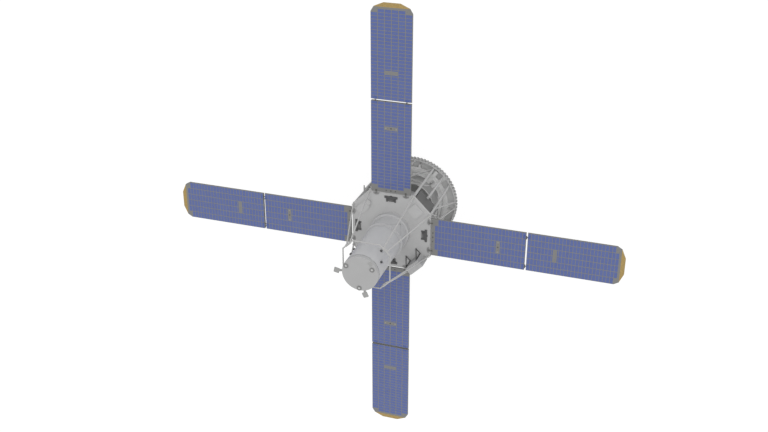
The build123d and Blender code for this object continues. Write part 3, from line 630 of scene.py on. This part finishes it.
# ---- Solar cells: six strings to a panel -----------------------------------------------------
STRINGS, PATCHED_STRINGS = 6, (2, 3)
STRING_PITCH = 0.0838
CELL_PITCH = 0.0417
CELL_GAP_ALONG = 0.0068
CELL_GAP_ACROSS = 0.0086
CELL_T = 0.0008
CELL_EDGE = 0.0003
INNER_PATCH_R = 1.3624
OUTER_PATCH_R = 2.0546
PATCH_HALF = 0.0262
CELL_LAYOUTS = (
    # panel, where its strings start, their way, cells in an edge and a middle string, bare patch
    ("inner", 1.696, -1, 26, 27, INNER_PATCH_R),
    ("outer", 1.721, 1, 25, 26, OUTER_PATCH_R),
)

for wing, direction in WINGS:
    glass = cell_x if direction % 180 == 0 else cell_y
    for panel, start, way, edge_cells, middle_cells, patch in CELL_LAYOUTS:
        cells = Bench()
        for string in range(STRINGS):
            across = (string - (STRINGS - 1) / 2) * STRING_PITCH
            at_edge = string in (0, STRINGS - 1)
            for row in range(edge_cells if at_edge else middle_cells):
                near, far = start + way * row * CELL_PITCH, start + way * (row + 1) * CELL_PITCH
                low = min(near, far) + CELL_GAP_ALONG / 2
                high = max(near, far) - CELL_GAP_ALONG / 2
                if string in PATCHED_STRINGS:
                    if (low + high) / 2 > patch:
                        low = max(low, patch + PATCH_HALF)
                    else:
                        high = min(high, patch - PATCH_HALF)
                place = seat(direction, (low + high) / 2, across, PANEL_TOP_Z)
                cells.block(place, (high - low, STRING_PITCH - CELL_GAP_ACROSS, CELL_T), CELL_EDGE)
        cells.piece(f"solar_cells_{panel}_{wing}", f"{panel}_wing_{wing}", [glass])


# ---- Wing fittings ---------------------------------------------------------------------------
PANEL_BOTTOM_Z = 0.983
PANEL_ENDS = (("inner", 1.697, -1), ("outer", 1.719, 1))
LIP_SIZE = (0.003, 0.4988, 0.010)

PAD_ACROSS = (-0.065, 0.065)
PAD_SIZE, PAD_EDGE = (0.016, 0.016, 0.0012), 0.0003
SENSOR_PROFILE = ((0.008, -0.001), (0.008, 0.0016), (0.0072, 0.002))
DOT_ACROSS = (-0.043, 0.043)
DOT_PROFILE = ((0.0042, -0.001), (0.0042, 0.001), (0.0036, 0.0013))

ROOT_CAP_R = 0.546
ROOT_CAPS = ((-0.059, 0.013), (0, 0.017), (0.059, 0.013))
ROOT_CAP_LONG, ROOT_CAP_RISE, ROOT_CAP_EDGE = 0.011, 0.004, 0.0008
ROOT_CAP_SCREW = (0.003, 0.0015)

RIVET_RADII = (("inner", (0.527, 1.69)), ("outer", (1.726,)))
RIVETS_ACROSS = (-0.235, -0.155, -0.078, 0.078, 0.155, 0.235)
RIVET = (0.0024, 0.0012)

for wing, direction in WINGS:
    for panel, end, way in PANEL_ENDS:
        lip = Bench()
        out = end + way * LIP_SIZE[0] / 2
        lip.block(seat(direction, out, 0, PANEL_BOTTOM_Z - LIP_SIZE[2]), LIP_SIZE)
        lip.piece(f"{panel}_panel_end_lip_{wing}", f"{panel}_wing_{wing}", [facesheet])

    fittings = Bench()
    for across in PAD_ACROSS:
        place = seat(direction, INNER_PATCH_R, across, PANEL_TOP_Z)
        fittings.block(place, PAD_SIZE, PAD_EDGE)
    place = seat(direction, INNER_PATCH_R, 0, PANEL_TOP_Z)
    fittings.turned(place, SENSOR_PROFILE, sides=24, finish=1)
    for across in DOT_ACROSS:
        place = seat(direction, INNER_PATCH_R, across, PANEL_TOP_Z)
        fittings.turned(place, DOT_PROFILE, sides=16, finish=2)
    fittings.piece(
        f"sun_sensor_patch_{wing}", f"inner_wing_{wing}",
        [pad_white, bolt_dark, dot_brown],
    )

    caps = Bench()
    for across, wide in ROOT_CAPS:
        size = (ROOT_CAP_LONG, wide, ROOT_CAP_RISE)
        caps.block(seat(direction, ROOT_CAP_R, across, PANEL_TOP_Z), size, ROOT_CAP_EDGE)
        top = PANEL_TOP_Z + ROOT_CAP_RISE
        caps.cap_screw(seat(direction, ROOT_CAP_R, across, top), *ROOT_CAP_SCREW)
    caps.piece(f"root_strip_caps_{wing}", f"inner_wing_{wing}", [bolt_dark])

    for panel, radii in RIVET_RADII:
        rivets = Bench()
        for out in radii:
            for across in RIVETS_ACROSS:
                rivets.cap_screw(seat(direction, out, across, PANEL_TOP_Z), *RIVET)
        rivets.piece(f"panel_rivets_{panel}_{wing}", f"{panel}_wing_{wing}", [rivet_grey])


# ---- Screws on the bus -----------------------------------------------------------------------
def screwed(name, finish, places, size):
    """One piece of like screws on the bus; size is the head's radius and height."""
    heads = Bench()
    for place in places:
        heads.cap_screw(place, *size)
    heads.piece(name, "bus", [finish])


SHOES = 80
SHOE_FACE_R, SHOE_SCREW_Z, SHOE_SCREW = 0.591, 0.033, (0.0052, 0.002)
RING_WALL_R, WALL_SCREW_ZS, WALL_SCREW = 0.577, (0.050, 0.020), (0.0038, 0.0025)

ring_screws = Bench()
for direction in steps(SHOES):
    ring_screws.cap_screw(wall_seat(direction, SHOE_FACE_R, 0, SHOE_SCREW_Z), *SHOE_SCREW)
    between = direction + 360 / SHOES / 2
    for height in WALL_SCREW_ZS:
        ring_screws.cap_screw(wall_seat(between, RING_WALL_R, 0, height), *WALL_SCREW)
ring_screws.piece("ring_clamp_screws", "bus", [bolt_dark])

RIB_TOP_Z = 0.080
RIB_DIRECTIONS, RIB_SCREWS_ACROSS = (41.5, 54.5), (-0.014, 0.014)
RIB_SCREW_RADII = (0.365, 0.398, 0.4365, 0.4685, 0.505, 0.535)
POINTED_RIB_DIRECTION, POINTED_RIB_SCREW_RADII = 80.2, (0.4365, 0.4685, 0.5)
RIB_SCREW = (0.0036, 0.003)

places = []
for quarter in (0, 90, 180, 270):
    for direction in RIB_DIRECTIONS:
        for out in RIB_SCREW_RADII:
            for across in RIB_SCREWS_ACROSS:
                places.append(seat(quarter + direction, out, across, RIB_TOP_Z))
    for out in POINTED_RIB_SCREW_RADII:
        places.append(seat(quarter + POINTED_RIB_DIRECTION, out, 0, RIB_TOP_Z))
screwed("base_cap_screws", screw_alloy, places, RIB_SCREW)

DRUM_RIM_R, DRUM_RIM_TOP_Z = 0.335, 0.261
DRUM_RIM_SCREWS, DRUM_RIM_SCREW = 36, (0.0026, 0.002)
OPENING_SCREW_R, BASE_UNDERSIDE_Z = 0.172, 0.009
OPENING_SCREWS, OPENING_SCREW = 24, (0.004, 0.003)

places = [seat(direction, DRUM_RIM_R, 0, DRUM_RIM_TOP_Z) for direction in steps(DRUM_RIM_SCREWS)]
screwed("drum_rim_screws", bolt_plain, places, DRUM_RIM_SCREW)

head_down = Matrix.Rotation(pi, 4, "X")
places = [
    seat(direction, OPENING_SCREW_R, 0, BASE_UNDERSIDE_Z) @ head_down
    for direction in steps(OPENING_SCREWS)
]
screwed("base_opening_screws", bolt_plain, places, OPENING_SCREW)

DECK_INSERTS = ((0.487, 0.262), (0.487, -0.262), (0.30, 0.075), (0.30, -0.075))
CORNER_INSERT_R, CORNER_INSERTS_ACROSS = 0.549, (-0.13, -0.055, 0.055, 0.13)
INSERT_SCREW = (0.003, 0.002)

places = []
for _, direction in WINGS:
    for out, across in DECK_INSERTS:
        places.append(seat(direction, out, across, DECK_TOP_Z))
for _, direction in CORNERS:
    for across in CORNER_INSERTS_ACROSS:
        places.append(seat(direction, CORNER_INSERT_R, across, DECK_TOP_Z))
screwed("deck_insert_screws", screw_white, places, INSERT_SCREW)

COVER_TOP_Z = DECK_TOP_Z + 0.015
SQUARE_COVER_DIRECTION, OTHER_COVERS_DIRECTION = 45, 135
SQUARE_COVER_R, SQUARE_COVER_SCREW_HALF = 0.44, 0.066
LONG_COVER_SCREWS = ((0.49, 0.15), (0.49, 0.03), (0.49, -0.11), (0.42, 0.145), (0.425, -0.012))
ROUND_COVER_AT, ROUND_COVER_TOP_Z = (0.454, -0.037), DECK_TOP_Z + 0.020
ROUND_COVER_SCREWS, ROUND_COVER_SCREW_R = 6, 0.029
FLAT_COVER_SCREW, ROUND_COVER_SCREW = (0.0035, 0.002), (0.0028, 0.002)

cover_screws = Bench()
for out in (-SQUARE_COVER_SCREW_HALF, SQUARE_COVER_SCREW_HALF):
    for across in (-SQUARE_COVER_SCREW_HALF, SQUARE_COVER_SCREW_HALF):
        place = seat(SQUARE_COVER_DIRECTION, SQUARE_COVER_R + out, across, COVER_TOP_Z)
        cover_screws.cap_screw(place, *FLAT_COVER_SCREW)
for out, across in LONG_COVER_SCREWS:
    place = seat(OTHER_COVERS_DIRECTION, out, across, COVER_TOP_Z)
    cover_screws.cap_screw(place, *FLAT_COVER_SCREW)
for turn in steps(ROUND_COVER_SCREWS):
    place = seat(OTHER_COVERS_DIRECTION, *ROUND_COVER_AT, ROUND_COVER_TOP_Z, turn)
    place = place @ Matrix.Translation((ROUND_COVER_SCREW_R, 0, 0))
    cover_screws.cap_screw(place, *ROUND_COVER_SCREW)
cover_screws.piece("cover_screws", "bus", [screw_white])

UNIT_DIRECTION, UNIT_TOP_Z, UNIT_FACE_R = -45, 1.194, 0.5664
UNIT_TOP_RADII, UNIT_TOP_ACROSS = (0.472, 0.554), (-0.096, -0.032, 0.032, 0.096)
UNIT_FACE_ACROSS, UNIT_FACE_ZS = (-0.096, 0.096), (1.008, 1.07, 1.13, 1.178)
UNIT_SCREW = (0.003, 0.002)

places = [
    seat(UNIT_DIRECTION, out, across, UNIT_TOP_Z)
    for out in UNIT_TOP_RADII for across in UNIT_TOP_ACROSS
]
places += [
    wall_seat(UNIT_DIRECTION, UNIT_FACE_R, across, height)
    for across in UNIT_FACE_ACROSS for height in UNIT_FACE_ZS
]
screwed("corner_unit_screws", screw_white, places, UNIT_SCREW)

BOX_FACE_R, BOX_SCREW = 0.5574, (0.0034, 0.0022)
BOX_ROWS = (
    # screws across, and the heights at which they sit
    ((-0.116, -0.04, 0.04, 0.116), (0.745, 0.945)),
    ((-0.116, 0.116), (0.795, 0.845, 0.895)),
)

for corner, direction in CORNERS:
    places = [
        wall_seat(direction, BOX_FACE_R, across, height)
        for row, heights in BOX_ROWS for across in row for height in heights
    ]
    screwed(f"box_face_screws_{corner}", screw_grey, places, BOX_SCREW)


# ---- Hold-downs and hinge feet ---------------------------------------------------------------
LATCH_R, LATCH_Z = 0.4135, 1.0052
LATCH_SIZE, LATCH_EDGE = (0.024, 0.052, 0.0025), 0.0006
LATCH_SCREWS_ACROSS, LATCH_SCREW_Z, LATCH_SCREW = (-0.019, 0.019), 1.0077, (0.0028, 0.0016)
HOLD_SCREW_R, HOLD_SCREWS_ACROSS = 0.4515, (-0.07, -0.052, 0.052, 0.07)
HOLD_SCREW_Z, HOLD_SCREW = 1.005, (0.0028, 0.0018)

latches = Bench()
for _, direction in WINGS:
    latches.block(seat(direction, LATCH_R, 0, LATCH_Z), LATCH_SIZE, LATCH_EDGE)
    for across in LATCH_SCREWS_ACROSS:
        place = seat(direction, LATCH_R, across, LATCH_SCREW_Z)
        latches.cap_screw(place, *LATCH_SCREW, finish=1)
    for across in HOLD_SCREWS_ACROSS:
        place = seat(direction, HOLD_SCREW_R, across, HOLD_SCREW_Z)
        latches.cap_screw(place, *HOLD_SCREW, finish=1)
latches.piece("hold_down_latch_plates", "bus", [latch_grey, bolt_dark])

FOOT_R, FOOT_TOP_Z, FOOT_SCREW = 0.482, 0.997, (0.0026, 0.0016)
FEET_ACROSS, FOOT_SCREW_SHIFTS = (-0.1955, 0.1955), (-0.028, -0.01, 0.01, 0.028)

places = [
    seat(direction, FOOT_R, across + shift, FOOT_TOP_Z)
    for _, direction in WINGS for across in FEET_ACROSS for shift in FOOT_SCREW_SHIFTS
]
screwed("hinge_foot_screws", bolt_dark, places, FOOT_SCREW)


# ---- Tube, lid and frame ---------------------------------------------------------------------
# Dark grey V-shaped strips standing a little proud of the tube, with a button at the V's point.
V_STRIP_POINTS = ((75, 1.255), (46, 1.095), (24, 1.230))
V_STRIP_STEPS, V_STRIP_HALF, V_STRIP_PROUD, V_STRIP_SUNK = 14, 0.004, 0.0008, -0.001
V_STRIP_BUTTON_PROFILE = ((0.008, -0.001), (0.008, 0.002), (0.006, 0.003))
SEAM_SUNK, SEAM_RAMP = 0.001, 0.0006
SEAMS = (
    # height of the lower edge, width, how far it stands out, number of its finish
    (1.331, 0.008, 0.0009, 0),
    (1.6976, 0.005, 0.0007, 1),
)

v_strips = Bench()
for (from_direction, from_z), (to_direction, to_z) in zip(V_STRIP_POINTS, V_STRIP_POINTS[1:]):
    rings = []
    for step in range(V_STRIP_STEPS + 1):
        share = step / V_STRIP_STEPS
        direction = from_direction + (to_direction - from_direction) * share
        height = from_z + (to_z - from_z) * share
        rings.append([
            spot(direction, TUBE_R + lift, height + side)
            for side, lift in (
                (-V_STRIP_HALF, V_STRIP_PROUD), (V_STRIP_HALF, V_STRIP_PROUD),
                (V_STRIP_HALF, V_STRIP_SUNK), (-V_STRIP_HALF, V_STRIP_SUNK),
            )
        ])
    v_strips.stack(Matrix.Identity(4), rings)
button_direction, button_z = V_STRIP_POINTS[1]
place = wall_seat(button_direction, TUBE_R, 0, button_z)
v_strips.turned(place, V_STRIP_BUTTON_PROFILE, sides=20, finish=1)
v_strips.piece("tube_v_strips", "bus", [v_strip_grey, rivet_grey])

seams = Bench()
for height, wide, proud, finish in SEAMS:
    profile = (
        (TUBE_R - SEAM_SUNK, 0),
        (TUBE_R + proud, SEAM_RAMP),
        (TUBE_R + proud, wide - SEAM_RAMP),
        (TUBE_R - SEAM_SUNK, wide),
    )
    place = Matrix.Translation((0, 0, height))
    seams.turned(place, profile, sides=96, finish=finish, closed=False)
seams.piece("tube_wrap_seams", "bus", [seam_grey, tube_blanket])

LID_PATCH_DIRECTION, LID_PATCH_R, LID_PATCH_TURN = 49.7, 0.1993, -6
LID_PATCH_SIZE, LID_PATCH_EDGE = (0.05, 0.055, 0.0012), 0.0004

lid_patch = Bench()
place = seat(LID_PATCH_DIRECTION, LID_PATCH_R, 0, LID_TOP_Z, LID_PATCH_TURN)
lid_patch.block(place, LID_PATCH_SIZE, LID_PATCH_EDGE)
lid_patch.piece("lid_patch", "bus", [patch_grey])

SENSORS = ((0.186, 155), (0.170, 28), (0.190, -92.5))
SENSOR_GLASS_PROFILE = ((0.0142, 0.0), (0.0142, 0.0045), (0.011, 0.0056), (0.006, 0.0062))

lenses = Bench()
for out, direction in SENSORS:
    lenses.turned(seat(direction, out, 0, LID_TOP_Z), SENSOR_GLASS_PROFILE, sides=32)
lenses.piece("sensor_glass", "bus", [lens_light])

# A black band in the lid's gap is painted shade; its two ends leave a short gap between them
GAP_SHADE_SECTION = ((0.2095, 2.0790), (0.2197, 2.0790), (0.2197, 2.0838), (0.2095, 2.0838))
GAP_SHADE_START, GAP_SHADE_TURN, GAP_SHADE_STEPS = 60, 348, 120

lid_gap_shade_band = Bench()
rings = [
    [
        spot(GAP_SHADE_START + step * GAP_SHADE_TURN / GAP_SHADE_STEPS, out, height)
        for out, height in GAP_SHADE_SECTION
    ]
    for step in range(GAP_SHADE_STEPS + 1)
]
lid_gap_shade_band.stack(Matrix.Identity(4), rings)
lid_gap_shade_band.piece("lid_gap_shade", "bus", [gap_shade_black])

LID_SCREWS, LID_SCREW_FIRST, LID_SCREW_Z = 24, 7.5, 2.114
LID_SCREW = (0.0028, 0.0016)
CLAMP_FACE_R, CLAMP_Z, CLAMP_SCREWS_ACROSS = 0.303, 1.9, (-0.032, 0.032)
CLAMP_SCREW = (0.003, 0.002)
ANTENNA_R, ANTENNA_TOP_Z = 0.315, 2.077
ANTENNA_DIRECTIONS_AND_TURNS = ((-172.5, -19), (-82.5, 17))
ANTENNA_SCREW_HALF, ANTENNA_SCREW = 0.024, (0.0026, 0.0015)

places = [
    wall_seat(direction, TUBE_R, 0, LID_SCREW_Z)
    for direction in steps(LID_SCREWS, LID_SCREW_FIRST)
]
screwed("lid_edge_screws", screw_white, places, LID_SCREW)

places = [
    wall_seat(direction, CLAMP_FACE_R, across, CLAMP_Z)
    for _, direction in WINGS for across in CLAMP_SCREWS_ACROSS
]
screwed("frame_clamp_screws", bolt_plain, places, CLAMP_SCREW)

places = [
    seat(direction, ANTENNA_R, 0, ANTENNA_TOP_Z, turn) @ Matrix.Translation((x, y, 0))
    for direction, turn in ANTENNA_DIRECTIONS_AND_TURNS
    for x in (-ANTENNA_SCREW_HALF, ANTENNA_SCREW_HALF)
    for y in (-ANTENNA_SCREW_HALF, ANTENNA_SCREW_HALF)
]
screwed("antenna_screws", screw_white, places, ANTENNA_SCREW)


# ---- Stage, light and camera -----------------------------------------------------------------
FLOOR_SIZE = (80, 80, 0.02)
FLOOR_COLOUR, FLOOR_ROUGHNESS = (0.9, 0.9, 0.9), 0.9
FLOOR_GLOW, FLOOR_GLOW_SHARE = 1.08, 0.84
SKY_LEVEL, SKY_SEEN_LEVEL = 0.72, 1.0
SUN_STRENGTH, SUN_ANGLE = 1.1, 50
SUN_DIRECTION, SUN_HEIGHT = 60, 57
LENS_MM, SENSOR_MM, FARTHEST_SEEN = 50, 36, 200
CAMERA_PLACE = Vector((3.6689, 6.1418, 12.1890))
CAMERA_RIGHT = Vector((0.94787, 0.00057, -0.31865))
CAMERA_UP = Vector((-0.14399, 0.89285, -0.42671))


def seen_directly(tree):
    """1 for rays from the camera, a reflection or through glass, and 0 for light on surfaces."""
    ray = add_node(tree, "ShaderNodeLightPath").outputs
    seen = arithmetic(tree, "MAXIMUM", ray["Is Camera Ray"], ray["Is Glossy Ray"])
    return arithmetic(tree, "MAXIMUM", seen, ray["Is Transmission Ray"])


def floor_finish():
    """Plain pale floor that reads as white and still takes the shadow."""
    material, tree, shader = blank("studio_floor")
    shader.inputs["Base Color"].default_value = shaded(FLOOR_COLOUR)
    shader.inputs["Roughness"].default_value = FLOOR_ROUGHNESS
    glow = add_node(
        tree, "ShaderNodeEmission", [("Color", (1, 1, 1, 1)), ("Strength", FLOOR_GLOW)]
    )
    share = arithmetic(tree, "MULTIPLY", seen_directly(tree), FLOOR_GLOW_SHARE)
    shaders = [(0, share), (1, shader.outputs[0]), (2, glow.outputs[0])]
    mix = add_node(tree, "ShaderNodeMixShader", shaders)
    tree.links.new(mix.outputs[0], tree.nodes["Material Output"].inputs["Surface"])
    return material


floor = Bench()
floor.block(Matrix.Translation((0, 0, -FLOOR_SIZE[2])), FLOOR_SIZE)
floor_mesh = floor.mesh("studio_floor")
floor_mesh.materials.append(floor_finish())
shown("studio_floor", floor_mesh)

world = bpy.data.worlds.new("studio")
bpy.context.scene.world = world
world.use_nodes = True
sky = world.node_tree
backdrop = sky.nodes["Background"].inputs
backdrop["Color"].default_value = (1, 1, 1, 1)
sky_strength = ranged(sky, seen_directly(sky), 0, 1, SKY_LEVEL, SKY_SEEN_LEVEL)
sky.links.new(sky_strength, backdrop["Strength"])

sun = bpy.data.lights.new("key_softbox", "SUN")
sun.energy = SUN_STRENGTH
sun.angle = radians(SUN_ANGLE)
sun_height = radians(SUN_HEIGHT)
towards_sun = spot(SUN_DIRECTION, cos(sun_height), sin(sun_height))
shown("key_softbox", sun).rotation_euler = towards_sun.to_track_quat("Z", "Y").to_euler()

camera = bpy.data.cameras.new("camera")
camera.lens = LENS_MM
camera.sensor_width = SENSOR_MM
camera.clip_end = FARTHEST_SEEN
camera_back = CAMERA_RIGHT.cross(CAMERA_UP).normalized()
camera_turn = Matrix((CAMERA_RIGHT, camera_back.cross(CAMERA_RIGHT), camera_back)).transposed()
camera_object = shown("camera", camera)
camera_object.matrix_world = Matrix.Translation(CAMERA_PLACE) @ camera_turn.to_4x4()
bpy.context.scene.camera = camera_object
bpy.context.scene.view_settings.view_transform = "Standard"
